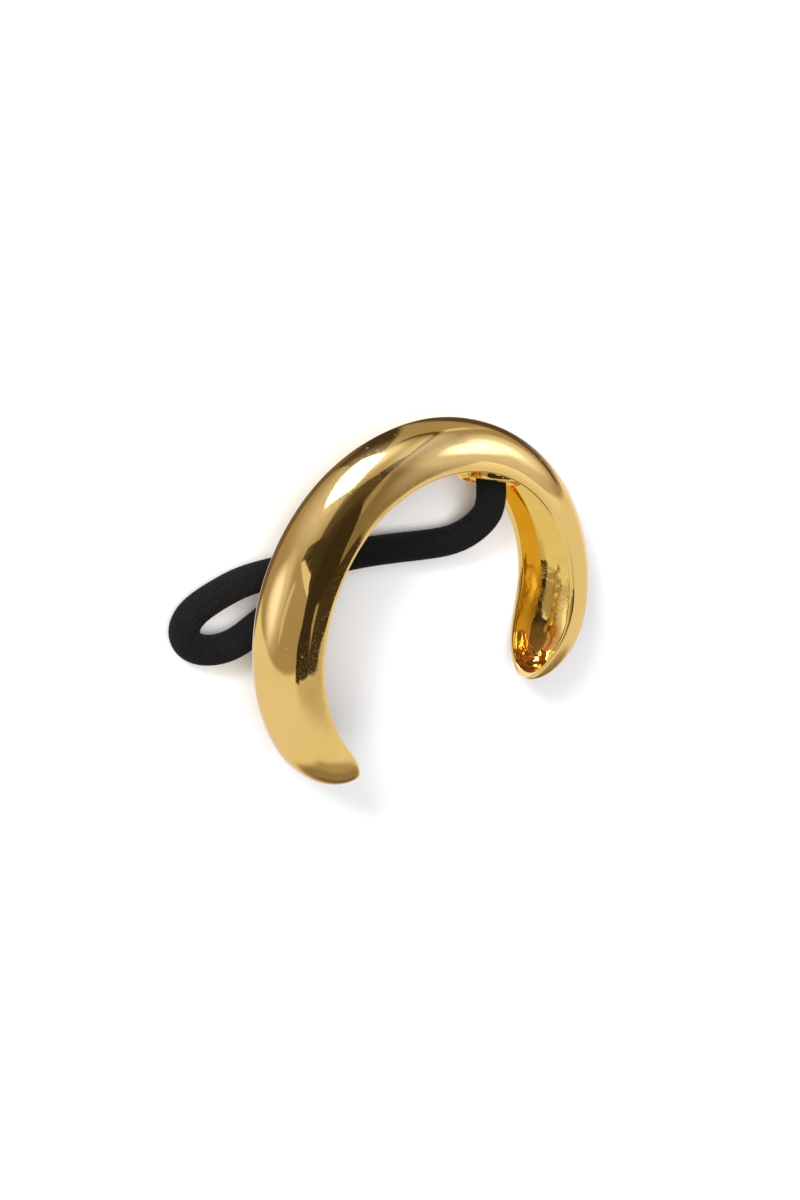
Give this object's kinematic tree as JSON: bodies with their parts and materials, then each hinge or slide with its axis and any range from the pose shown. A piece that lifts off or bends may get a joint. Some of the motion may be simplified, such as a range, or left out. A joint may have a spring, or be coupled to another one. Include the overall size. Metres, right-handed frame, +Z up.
{
  "type": "ponytail cuff",
  "caption": "C-shaped hollow half-round metal hair cuff with closed rounded feet, lying on its side, and a round elastic cord with both ends set in inner cups.",
  "frame": {"origin": "centre of the metal's outline in plan, on the floor that the cuff lies on", "axes": "+Z up from the floor, across the width of the leaning band; +Y towards the crown of the C, away from its mouth; +X towards the limb whose rim lies on the floor"},
  "size_m": [0.0583, 0.0432, 0.0157],
  "materials": {
    "cuff": "polished gold plating, warm yellow, with fine scratches and small pits",
    "cord": "matt black braided elastic"
  },
  "bodies": {
    "root": {"cuff_shell": "cuff", "elastic_cord": "cord"}
  },
  "joints": []
}
